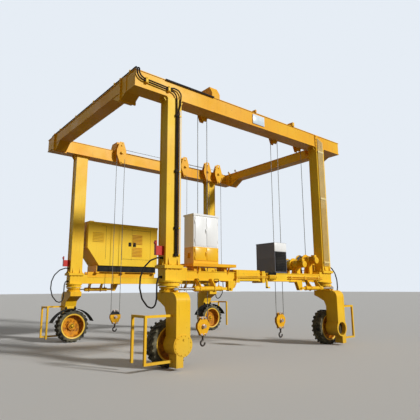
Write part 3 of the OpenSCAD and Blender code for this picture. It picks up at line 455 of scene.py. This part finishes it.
# The steering cylinders are honed tube in straps under the sill, each with a screwed
# gland, two ports on top, bolts in its straps and nuts on the pin at its rear.
gland = turned(((0.021, 0.032), (0.024, 0.036), (0.050, 0.036), (0.056, 0.031), (0.058, 0.004),
                (0.064, 0.002), (0.064, -0.002)), 30)
port = turned(((0, 0.040), (0.013, 0.040), (0.016, 0.037), (0.016, 0.020), (0.021, 0.018),
               (0.021, 0), (0.026, -0.004)), 16)
rear_nut = hexagon_bolt(0.040)
rod_y, rod_z, barrel_radius = 2.991, 1.595, 0.055
gland_x, ports_x, rear_x = 2.27, (1.60, 2.17), 1.29
glands = bmesh.new()
for _, sx, sy in corners:
    set_in(glands, gland, (sx * gland_x, sy * rod_y, rod_z), (sx, 0, 0))
    for x in ports_x:
        set_in(glands, port, (sx * x, sy * rod_y, rod_z + barrel_radius), (0, 0, 1))
    for x in (1.745, 2.155):
        for side in (-1, 1):
            set_in(glands, flange_bolt, (sx * (x + side * 0.015), sy * (rod_y + 0.052),
                                         rod_z + side * 0.02), (side * sx, 0, 0))
    for side in (-1, 1):
        set_in(glands, rear_nut, (sx * rear_x, sy * rod_y + side * 0.062, rod_z), (0, side, 0))
keep_piece(glands, "steering_glands", yoke_yellow, "portal")


# The sheave blocks have cheeks cut from plate, tied by bolts, and a pin with a nut and
# a keeper that stops it turning.
pin_nut = hexagon_bolt(0.078)
tie_nut = hexagon_bolt(0.046)
cheek_face, sheave_z = 2.241, 6.25
blocks = bmesh.new()
for sy in (-1, 1):
    for x in (-1.52, 1.20, 2.32, 2.90):
        set_in(blocks, pin_nut, (x, sy * 2.225, sheave_z), (0, -sy, 0))
        for rise in (-0.33, 0.27):
            set_in(blocks, tie_nut, (x, sy * cheek_face, sheave_z + rise), (0, -sy, 0))
        for side in (-1, 1):
            set_in(blocks, ring_bolt, (x + side * 0.07, sy * cheek_face, sheave_z - 0.03),
                   (0, -sy, 0))
keep_piece(blocks, "sheave_block_nuts", yoke_yellow, "portal")


# Each winch is a drum between bearing stands, turned by a finned electric motor
# through a planetary gearbox with a ring of screws.
winches = {-1: (1.75, 2.27), 1: (2.32, 2.40)}
motor_fins = turned([(0.078, -0.004)] + [
    (0.098 if k % 4 in (1, 2) else 0.078, 0.008 + k * 0.004) for k in range(44)] + [
    (0.092, 0.188), (0.092, 0.203), (0.070, 0.208), (0.026, 0.208), (0.024, 0.204),
    (0, 0.204)], 32)
gear_screw = hexagon_bolt(0.020)
motor_foot, gear_face, bearing_face = 2.64, 2.554, 2.168
motors = bmesh.new()
for sy in (-1, 1):
    for x, z in winches.values():
        set_in(motors, motor_fins, (x, sy * motor_foot, z), (0, sy, 0))
        bolt_circle(motors, gear_screw, (x, sy * gear_face, z), 0.135, 12, (0, sy, 0))
        near, far = sorted((sy * 2.68, sy * 2.80))
        set_in(motors, folded_box((x - 0.055, near, z + 0.09), (x + 0.055, far, z + 0.16), 0.008))
        bolt_circle(motors, ring_bolt, (x, sy * bearing_face, z), 0.064, 4, (0, -sy, 0))
keep_piece(motors, "winch_motors", yoke_yellow, "portal")


# The electrical cabinet is folded sheet, powder coated white over yellow. Its doors hang
# on pin hinges and close on rubber, under a roof that throws off the rain. Runs are 45 mm
# wide and 550 mm long, and the coat's 1 mm grain is drawn at 5 mm.
def powder_coat(name, lower, upper, height, gloss=0.4):
    made, tree = new_material(name)
    point = add(tree, "TexCoord").outputs["Object"]
    place = add(tree, "SeparateXYZ", links={0: point})
    above = add(tree, "Math", {1: height}, {0: place.outputs[2]}, operation="GREATER_THAN")
    coat = add(tree, "Mix", {6: linear(lower), 7: linear(upper)}, {0: above.outputs[0]},
               data_type="RGBA")
    drawn = add(tree, "Mapping", {"Scale": (1000 / 45, 1000 / 45, 1000 / 550)}, {"Vector": point})
    runs = add(tree, "TexNoise", {"Scale": 1.0, "Detail": 5, "Roughness": 0.7},
               {"Vector": drawn.outputs[0]})
    run_share = add(tree, "MapRange", {"From Min": 0.55, "From Max": 0.8, "To Max": 0.22},
                    {"Value": runs.outputs[0]})
    stained = add(tree, "Mix", {7: linear("#77705f")}, {0: run_share.outputs[0],
                  6: coat.outputs[2]}, data_type="RGBA")
    skin(tree, point, stained.outputs[2], gloss, 5, 0.0004, coat=0.3)
    return made


colour_break = 2.535
cabinet_coat = powder_coat("cabinet_powder_coat", "#f3bb1c", "#f1f1ee", colour_break)
dress(["electrical_cabinet"], cabinet_coat)
cabinet_face = -2.863
doors = bmesh.new()
for low_x, high_x in ((-2.185, -1.862), (-1.848, -1.525)):
    for low_z, high_z in ((2.23, colour_break - 0.02), (colour_break + 0.02, 3.22)):
        set_in(doors, folded_box((low_x, cabinet_face - 0.012, low_z),
                                 (high_x, cabinet_face, high_z), 0.005))
hinge = turned(((0, 0.035), (0.006, 0.035), (0.008, 0.032), (0.008, -0.032), (0.006, -0.035),
                (0, -0.035)), 12)
for x in (-2.187, -1.523):
    for z in (2.28, 2.46, 2.68, 3.10):
        set_in(doors, hinge, (x, cabinet_face - 0.010, z))
for z in (2.37, 2.90):
    set_in(doors, folded_box((-1.895, cabinet_face - 0.020, z - 0.06),
                             (-1.870, cabinet_face - 0.010, z + 0.06), 0.003))
    set_in(doors, folded_box((-1.893, cabinet_face - 0.036, z - 0.02),
                             (-1.872, cabinet_face - 0.016, z + 0.05), 0.006))
keep_piece(doors, "cabinet_doors", cabinet_coat, "portal")


# The power unit is a grey sheet steel box over a hydraulic pump, with a white panel at
# the top of its front and a dark grille of bent slats that lets the cooler breathe.
dress(["power_unit"], powder_coat("power_unit_powder_coat", "#605e63", "#67656b", 2.4))
panel_white = powder_coat("white_powder_coat", "#ecece9", "#f1f1ee", 2.6, 0.35)
slat_black = rubber("black_nylon", "#151515", "#4a463e", 0.35)
unit_face = -2.855
panel = bmesh.new()
set_in(panel, folded_box((0.478, unit_face - 0.008, 2.57),
                         (0.952, unit_face + 0.002, 2.806)))
keep_piece(panel, "power_unit_panel", panel_white, "portal")
slats = bmesh.new()
set_in(slats, folded_box((0.500, unit_face - 0.004, 2.035), (0.930, unit_face + 0.010, 2.565)))
for i in range(12):
    z = 2.047 + i * 0.043
    set_in(slats, folded_box((0.510, unit_face - 0.014, z), (0.920, unit_face - 0.002, z + 0.026),
                             0.005))
keep_piece(slats, "power_unit_grille", slat_black, "portal")


# The hydraulic valves on the front sill: five cast blocks bolted side by side, painted
# over with the sill, with a black coil on each and a bracket bent down under them.
valve_front, valve_back, valve_low, valve_top, valve_pitch = -2.955, -2.850, 1.842, 1.938, 0.0575
valve_cap = turned(((0, 0.034), (0.012, 0.034), (0.016, 0.028), (0.016, 0.008), (0.020, 0.006),
                    (0.020, -0.004)), 18)
coil = turned(((0, 0.086), (0.008, 0.086), (0.010, 0.078), (0.010, 0.066), (0.022, 0.064),
               (0.024, 0.060), (0.024, 0.006), (0.020, -0.004)), 20)
valves, coils = bmesh.new(), bmesh.new()
for i in range(5):
    x = 0.185 + i * valve_pitch
    set_in(valves, folded_box((x - 0.026, valve_front, valve_low),
                              (x + 0.026, valve_back, valve_top), 0.006))
    set_in(valves, valve_cap, (x, -2.905, valve_low), (0, 0, -1))
    set_in(valves, ring_bolt, (x, valve_front, (valve_low + valve_top) / 2), (0, -1, 0))
    set_in(coils, coil, (x, -2.915, valve_top))
set_in(valves, folded_box((0.15, -2.900, valve_top - 0.060), (0.45, -2.845, valve_top - 0.040)))
for far_x, high_z in ((0.16, 1.90), (0.24, 1.64)):
    set_in(valves, folded_box((0.10, -2.880, 1.60), (far_x, valve_back, high_z), 0.005))
keep_piece(valves, "sill_valves", yoke_yellow, "portal")
keep_piece(coils, "valve_coils", slat_black, "portal")


# The generator stands in a soundproof case of folded sheet, with a door that closes on
# a rubber seal, two sunk black latches and pressed louvres.
generator_coat = enamel("generator_powder_coat", "#f4c21a", "#f9cf34", "#9a7a30", 0.25)
dress(["generator_housing"], generator_coat)
case_x, case_y, case_z = -2.51, 2.40, 2.36
for name, rows, colours in (
        ("orange", ((1.59, 0.76), (1.59, 0.33)), ("#d98a1c", "#e39a2c")),
        ("yellow", ((0.15, 0.76),), ("#e9bb1c", "#f0c832"))):
    louvres = bmesh.new()
    for low_x, low_z in rows:
        for i in range(7):
            z = case_z + low_z + i * 0.048
            set_in(louvres, folded_box((case_x + low_x + 0.012, case_y - 0.020, z + 0.004),
                                       (case_x + low_x + 0.388, case_y + 0.006, z + 0.018), 0.004))
    keep_piece(louvres, name + "_louvres",
               enamel(name + "_louvre_enamel", *colours, stain="#7b4413"), "portal")
latches = bmesh.new()
for x in (case_x + 1.445, case_x + 1.625):
    set_in(latches, folded_box((x, case_y - 0.016, case_z + 0.67),
                               (x + 0.11, case_y + 0.002, case_z + 0.81), 0.005))
    set_in(latches, folded_box((x + 0.030, case_y - 0.034, case_z + 0.69),
                               (x + 0.080, case_y - 0.012, case_z + 0.79), 0.006))
keep_piece(latches, "generator_latches", slat_black, "portal")
seals = bmesh.new()
for x in (0.62, 1.205, 1.575, 2.315):
    set_in(seals, folded_box((case_x + x - 0.004, case_y - 0.002, case_z + 0.20),
                             (case_x + x + 0.004, case_y + 0.002, case_z + 1.30), 0.001))
for z in (0.235, 1.245):
    set_in(seals, folded_box((case_x + 1.21, case_y - 0.002, case_z + z - 0.004),
                             (case_x + 2.31, case_y + 0.002, case_z + z + 0.004), 0.001))
keep_piece(seals, "generator_seals", slat_black, "portal")
# A black sheet in the gap under the case, behind the skid's front, is a painted shadow.
painted_shadow_sheet = bmesh.new()
set_in(painted_shadow_sheet, folded_box((case_x + 0.38, case_y + 0.052, 2.16),
                               (case_x + 2.57, case_y + 0.059, 2.355), 0.002))
keep_piece(painted_shadow_sheet, "skid_painted_shadow", slat_black, "portal")


# The alarm boxes are moulded in red plastic, each with a push button on its end plate,
# and screwed to brackets low on the left columns.
dress(["alarm_boxes"], powder_coat("signal_red_plastic", "#b8241b", "#c42b20", 2.3))


# Wire rope, eighteen millimetres thick, laid in six strands round a core and dark
# with grease, from each hoisting sheave along the girder and down to its winch.
#
# The points and directions of a route, with its corners rounded to a bend and, where a
# step is given, with more points between them.
def rounded(route, bend, step=None):
    route = [Vector(point) for point in route]
    line = [(route[0], (route[1] - route[0]).normalized())]
    for before, corner, after in zip(route, route[1:], route[2:]):
        come, go = (corner - before).normalized(), (after - corner).normalized()
        turn = come.angle(go)
        if turn < 0.01:
            continue
        room = 0.49 * min((corner - before).length, (after - corner).length)
        radius = min(bend, room / tan(turn / 2))
        begin = corner - come * radius * tan(turn / 2)
        axis = come.cross(go).normalized()
        centre = begin + axis.cross(come) * radius
        count = max(3, int(turn / 0.2))
        for k in range(count + 1):
            spun = Matrix.Rotation(turn * k / count, 3, axis)
            line.append((centre + spun @ (begin - centre), spun @ come))
    line.append((route[-1], (route[-1] - route[-2]).normalized()))
    if not step:
        return line
    close = [line[0]]
    for (place, way), (following, next_way) in zip(line, line[1:]):
        count = max(1, round((following - place).length / step))
        close += [(place.lerp(following, k / count), way.lerp(next_way, k / count).normalized())
                  for k in range(1, count + 1)]
    return close


# A round tube along a route. With a lay it is a rope of six strands, twisted once a lay.
def tube(route, radius, bend=0.1, lay=None):
    bm = bmesh.new()
    line = rounded(route, bend, lay / 8 if lay else None)
    place, way = line[0]
    aim = Vector((0, 0, 1)).rotation_difference(way).to_matrix().to_4x4()
    ring = bmesh.ops.create_circle(bm, segments=24 if lay else 12, radius=radius)["verts"]
    if lay:
        strand = (0.80, 0.95, 1.0, 0.95)
        for k, point in enumerate(ring):
            point.co *= strand[k % 4]
    bmesh.ops.transform(bm, matrix=Matrix.Translation(place) @ aim, verts=ring)
    edges = bm.edges[:]
    for following, next_way in line[1:]:
        grown = bmesh.ops.extrude_edge_only(bm, edges=edges)["geom"]
        edges = [e for e in grown if isinstance(e, bmesh.types.BMEdge)
                 and all(v in grown for v in e.verts)]
        points = [v for v in grown if isinstance(v, bmesh.types.BMVert)]
        twist = tau * (following - place).length / lay if lay else 0
        bmesh.ops.transform(bm, verts=points, matrix=Matrix.Translation(following)
                            @ way.rotation_difference(next_way).to_matrix().to_4x4()
                            @ Matrix.Rotation(twist, 4, way) @ Matrix.Translation(-place))
        place, way = following, next_way
    bmesh.ops.holes_fill(bm, edges=[e for e in bm.edges if e.is_boundary], sides=0)
    bmesh.ops.recalc_face_normals(bm, faces=bm.faces)
    return as_mesh(bm)


rope_steel = bright_steel("greased_wire_rope", "#4a463f", 0.5)
rope_radius, rope_lay, wrap_radius = 0.009, 0.13, 0.15
fall_top, block_z = 5.9, 0.72
hoists = {-1: (-1.52, 2.29, 2.9), 1: (1.20, 2.33, 2.32)}
top_ropes = bmesh.new()
for sy in (-1, 1):
    for sx, (hoist_x, rope_y, turn_x) in hoists.items():
        y, run_z = sy * rope_y, sheave_z + wrap_radius
        up_x, dead_x, down_x = hoist_x - wrap_radius, hoist_x + wrap_radius, turn_x + wrap_radius
        drum_x, drum_z = winches[sx]
        route = [(up_x, y, fall_top), (up_x, y, run_z), (down_x, y, run_z), (down_x, y, drum_z)]
        if sx < 0:
            low_z = drum_z - wrap_radius
            route[-1:] = [(down_x, y, low_z), (drum_x, y, low_z)]
        set_in(top_ropes, tube(route, rope_radius, wrap_radius, lay=rope_lay))
        dead = [(dead_x, y, fall_top), (dead_x, y, sheave_z - 0.16)]
        set_in(top_ropes, tube(dead, rope_radius, lay=rope_lay))
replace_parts(keep_piece(top_ropes, "laid_winch_ropes", rope_steel, "portal", 60),
            "winch_ropes")
for corner, sx, sy in corners:
    hoist_x, rope_y = hoists[sx][:2]
    falls = bmesh.new()
    for side in (-1, 1):
        x = hoist_x + side * wrap_radius
        set_in(falls, tube([(x, sy * rope_y, block_z), (x, sy * rope_y, fall_top)], rope_radius,
                           lay=rope_lay))
    piece = keep_piece(falls, corner + "_laid_falls", rope_steel, "portal", 60)
    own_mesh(piece)
    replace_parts(piece, corner + "_rope_falls")
first_turn, turn_pitch, turn_steps = 2.226, 0.020, 32
for corner, sx, sy in corners:
    x, z = winches[sx]
    wound = bmesh.new()
    turns = (hoists[sx][1] - first_turn) / turn_pitch
    ring = bmesh.ops.create_circle(
        wound, segments=10, radius=rope_radius,
        matrix=Matrix.Translation((x + wrap_radius, sy * first_turn, z)))["verts"]
    bmesh.ops.spin(wound, geom=ring + wound.edges[:], cent=(x, 0, z), axis=(0, 1, 0),
                   dvec=(0, sy * turn_pitch / turn_steps, 0), angle=tau * turns,
                   steps=int(turn_steps * turns))
    bmesh.ops.holes_fill(wound, edges=[e for e in wound.edges if e.is_boundary], sides=0)
    keep_piece(wound, corner + "_wound_rope", rope_steel, corner + "_drum")


# A hook block is two enamelled cheeks round a sheave, the back ones black on top, with
# bolts through the cheeks and a forged hook that swivels in the cross-head. The paint
# ends 205 mm under the pin, and below it the forged skin keeps clouds of scale 60 mm.
def block_enamel(name, head):
    made, tree = new_material(name)
    point = add(tree, "TexCoord").outputs["Object"]
    place = add(tree, "SeparateXYZ", links={0: point})
    scale = add(tree, "TexNoise", {"Scale": 1000 / 60, "Detail": 5}, {"Vector": point})
    forged = add(tree, "Mix", {6: linear("#2b2521"), 7: linear("#4e4238")},
                 {0: scale.outputs[0]}, data_type="RGBA")
    painted = add(tree, "Math", {1: block_z - 0.205}, {0: place.outputs[2]},
                  operation="GREATER_THAN")
    body = add(tree, "Mix", {7: linear("#eeb015")}, {0: painted.outputs[0],
               6: forged.outputs[2]}, data_type="RGBA")
    high = add(tree, "Math", {1: block_z + 0.07}, {0: place.outputs[2]},
               operation="GREATER_THAN")
    topped = add(tree, "Mix", {7: linear(head)}, {0: high.outputs[0], 6: body.outputs[2]},
                 data_type="RGBA")
    worn = add(tree, "MapRange", {"From Min": 0.55, "From Max": 0.75, "To Max": 0.5},
               {"Value": scale.outputs[0]})
    coat = add(tree, "Mix", {7: linear("#3b3024")}, {0: worn.outputs[0], 6: topped.outputs[2]},
               data_type="RGBA")
    skin(tree, point, coat.outputs[2], 0.42, 9, 0.0008, coat=0.2)
    return made


dress(["front_left_hook_block", "front_right_hook_block"],
      block_enamel("front_block_enamel", "#eeb015"))
dress(["back_left_hook_block", "back_right_hook_block"],
      block_enamel("back_block_enamel", "#1c1a18"))
pin_steel = bright_steel("pin_steel", "#d8c3b4", 0.35)
for corner, sx, sy in corners:
    x, y = hoists[sx][0], sy * hoists[sx][1]
    pins = bmesh.new()
    for side in (-1, 1):
        set_in(pins, pin_nut, (x, y + side * 0.049, block_z), (0, side, 0))
        for across, rise in ((-0.06, -0.19), (0.06, -0.19), (-0.048, 0.19), (0.048, 0.19)):
            set_in(pins, tie_nut, (x + across, y + side * 0.037, block_z + rise), (0, side, 0))
    keep_piece(pins, corner + "_hook_block_pins", pin_steel, corner + "_hook_block")


# Hoses and pipes: two black rubber hoses come along the left cross beam, over its corner
# and down the front left column. A loop swings out beside each foot, and plastic pipes
# climb the columns and cross the sill, all in bolted clamps.
hose_black = rubber("hose_rubber", "#1a1715", "#4a4032", 0.3)
web = -2.855
hose_radius, hose_y, cross_z = 0.017, web - 0.031, girder_top + 0.05
sill_entry_z = 1.812
outer_drop = [(-3.80, 6.25), (-3.74, 6.16), (-3.64, 6.12), (-3.55, 6.115), (-2.95, 6.09),
              (-2.84, 6.09), (-2.77, 6.04), (-2.74, 5.95), (-2.735, 5.80), (-2.735, 2.30)]
inner_drop = [(-3.74, 6.27), (-3.69, 6.20), (-3.62, 6.17), (-3.55, 6.165), (-2.95, 6.14),
              (-2.82, 6.18), (-2.69, 6.16), (-2.62, 6.08), (-2.63, 5.97), (-2.64, 5.80),
              (-2.70, 5.60), (-2.70, 2.30)]
foot_drop = [(2.95, 2.255), (3.08, 2.255), (3.25, 2.19), (3.40, 2.04), (3.48, 1.84),
             (3.49, 1.62), (3.43, 1.40), (3.30, 1.24), (3.18, 1.20), (3.105, 1.27),
             (3.08, 1.40), (3.08, 1.72), (3.05, 1.83), (3.01, 1.85), (2.965, 1.85)]
ferrule = turned(((0, 0.064), (0.019, 0.064), (0.022, 0.060), (0.022, 0.018), (0.029, 0.014),
                  (0.029, -0.004)), 18)
hoses = bmesh.new()
for drop in (outer_drop, inner_drop):
    x = drop[0][0]
    over = [(x, 2.60, girder_top + 0.01), (x, 2.48, cross_z), (x, hose_y, cross_z)]
    set_in(hoses, tube(over + [(x, hose_y, z) for x, z in drop], hose_radius, 0.09))
for _, sx, sy in corners:
    set_in(hoses, tube([(sx * x, sy * corner_y, z) for x, z in foot_drop], hose_radius, 0.12))
    for x, z in (foot_drop[0], foot_drop[-1]):
        set_in(hoses, ferrule, (sx * x, sy * corner_y, z), (sx, 0, 0))
    for x in ports_x:
        rise = [(sx * x, sy * rod_y, rod_z + 0.09), (sx * x, sy * rod_y, sill_entry_z),
                (sx * x, sy * (-web - 0.01), sill_entry_z)]
        set_in(hoses, tube(rise, 0.008, 0.05))
set_in(hoses, folded_box((-3.04, web - 0.020, girder_top - 0.03), (-1.59, web, girder_top + 0.012)))
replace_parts(keep_piece(hoses, "rubber_hoses", hose_black, "portal"), "pipework")
clamp_back = web + 0.001
straps, clamps = bmesh.new(), bmesh.new()
for y in (1.80, 0.56, -0.64, -1.84, -2.60):
    set_in(straps, folded_box((-3.828, y, girder_top - 0.001), (-3.712, y + 0.04, cross_z + 0.028)))
    set_in(straps, ring_bolt, (-3.77, y + 0.02, cross_z + 0.028))
for x, z in ((-3.55, 6.14), (-2.96, 6.115)):
    set_in(straps, folded_box((x - 0.03, web - 0.055, z - 0.065),
                              (x + 0.03, web + 0.014, z + 0.065)))
    for rise in (-0.048, 0.048):
        set_in(straps, ring_bolt, (x, web - 0.055, z + rise), (0, -1, 0))
for z in (5.53, 4.20, 2.91, 2.32):
    set_in(clamps, folded_box((-2.768, web - 0.055, z - 0.03), (-2.672, clamp_back, z + 0.03)))
    set_in(straps, folded_box((-2.670, web - 0.042, z - 0.02), (-2.610, clamp_back, z + 0.02)))
keep_piece(straps, "hose_straps", yoke_yellow, "portal")
keep_piece(clamps, "hose_clamps", hose_black, "portal")
pipe_cream = powder_coat("conduit_pvc", "#e3cb86", "#e9d69a", 4.0, 0.5)
pipe_yellow = powder_coat("sill_pipe_enamel", "#eab01c", "#f0ba28", 1.87, 0.45)
column_pipe = bmesh.new()
set_in(column_pipe, tube([(-2.640, web - 0.026, 2.30), (-2.640, web - 0.026, 5.66)], 0.013))
keep_piece(column_pipe, "column_pipe", powder_coat("pipe_pvc", "#ded8cf", "#e6e2da", 4.0, 0.5),
           "portal")
conduits = bmesh.new()
for i in range(5):
    x = 2.64 + i * 0.055
    set_in(conduits, tube([(x, web - 0.026, 2.24), (x, web - 0.026, 6.23 - i * 0.02)], 0.015))
for z in (5.80, 4.30, 2.35):
    set_in(conduits, folded_box((2.62, web - 0.044, z - 0.025), (2.89, clamp_back, z + 0.025)))
keep_piece(conduits, "pale_conduits", pipe_cream, "portal")
sill_pipes = bmesh.new()
for z in (1.85, 1.90):
    set_in(sill_pipes, tube([(0.98, web - 0.020, z), (2.50, web - 0.020, z)], 0.013))
for rise in (0, 0.035):
    set_in(sill_pipes, tube([(0.16, -2.90, 1.865 + rise), (-0.20, web - 0.050, 1.865 + rise),
                             (-0.72, web - 0.050, 1.855 + rise), (-0.95, web - 0.055, 1.845 + rise),
                             (-1.02, -2.94, 1.70 + rise), (-1.12, -rod_y, rod_z + 0.02 + rise),
                             (-1.25, -rod_y, rod_z + 0.02)], 0.011, 0.10))
for x in (1.10, 1.70, 2.30):
    set_in(sill_pipes, folded_box((x - 0.02, web - 0.036, 1.825), (x + 0.02, web + 0.014, 1.925)))
keep_piece(sill_pipes, "sill_pipes", pipe_yellow, "portal")


# Three small work lamps stand on the right cross beam, each a cast head with a pale
# lens on a short post bolted to the top plate.
lamp_white = powder_coat("lamp_white_enamel", "#d9dde2", "#eef1f4", girder_top + 0.05, 0.25)
lamps = bmesh.new()
lamp_post = turned(((0, 0.060), (0.012, 0.060), (0.014, 0.056), (0.014, 0.010), (0.034, 0.008),
                    (0.036, 0.004), (0.036, -0.003)), 18)
lamp_head = turned(((0, 0.035), (0.030, 0.035), (0.046, 0.026), (0.056, 0.004), (0.056, -0.012),
                    (0.048, -0.018), (0, -0.022)), 24)
lamp_x, lamp_rise, lamp_aim = 3.52, 0.085, (-0.5, -0.2, -0.84)
for y in (1.87, 2.28, 2.70):
    set_in(lamps, lamp_post, (lamp_x, y, girder_top))
    set_in(lamps, lamp_head, (lamp_x, y, girder_top + lamp_rise), lamp_aim)
keep_piece(lamps, "beam_lamps", lamp_white, "portal")


# The sign plate is a bare sheet of pale blue enamelled steel, pop riveted in front of
# the girder's web at the middle.
sign_enamel = powder_coat("sign_enamel", "#d3e2ec", "#dde9f1", 6.15, 0.3)
sign_x, sign_z, sign_face, inset = (-0.21, 0.24), (6.02, 6.29), web - 0.006, 0.02
sign = bmesh.new()
set_in(sign, folded_box((sign_x[0], sign_face, sign_z[0]),
                        (sign_x[1], web + 0.001, sign_z[1]), 0.002))
rivet = turned(((0, 0.004), (0.005, 0.003), (0.008, 0), (0.008, -0.002)), 12)
for x in (sign_x[0] + inset, sign_x[1] - inset):
    for z in (sign_z[0] + inset, sign_z[1] - inset):
        set_in(sign, rivet, (x, sign_face, z), (0, -1, 0))
keep_piece(sign, "bare_sign_plate", sign_enamel, "portal")
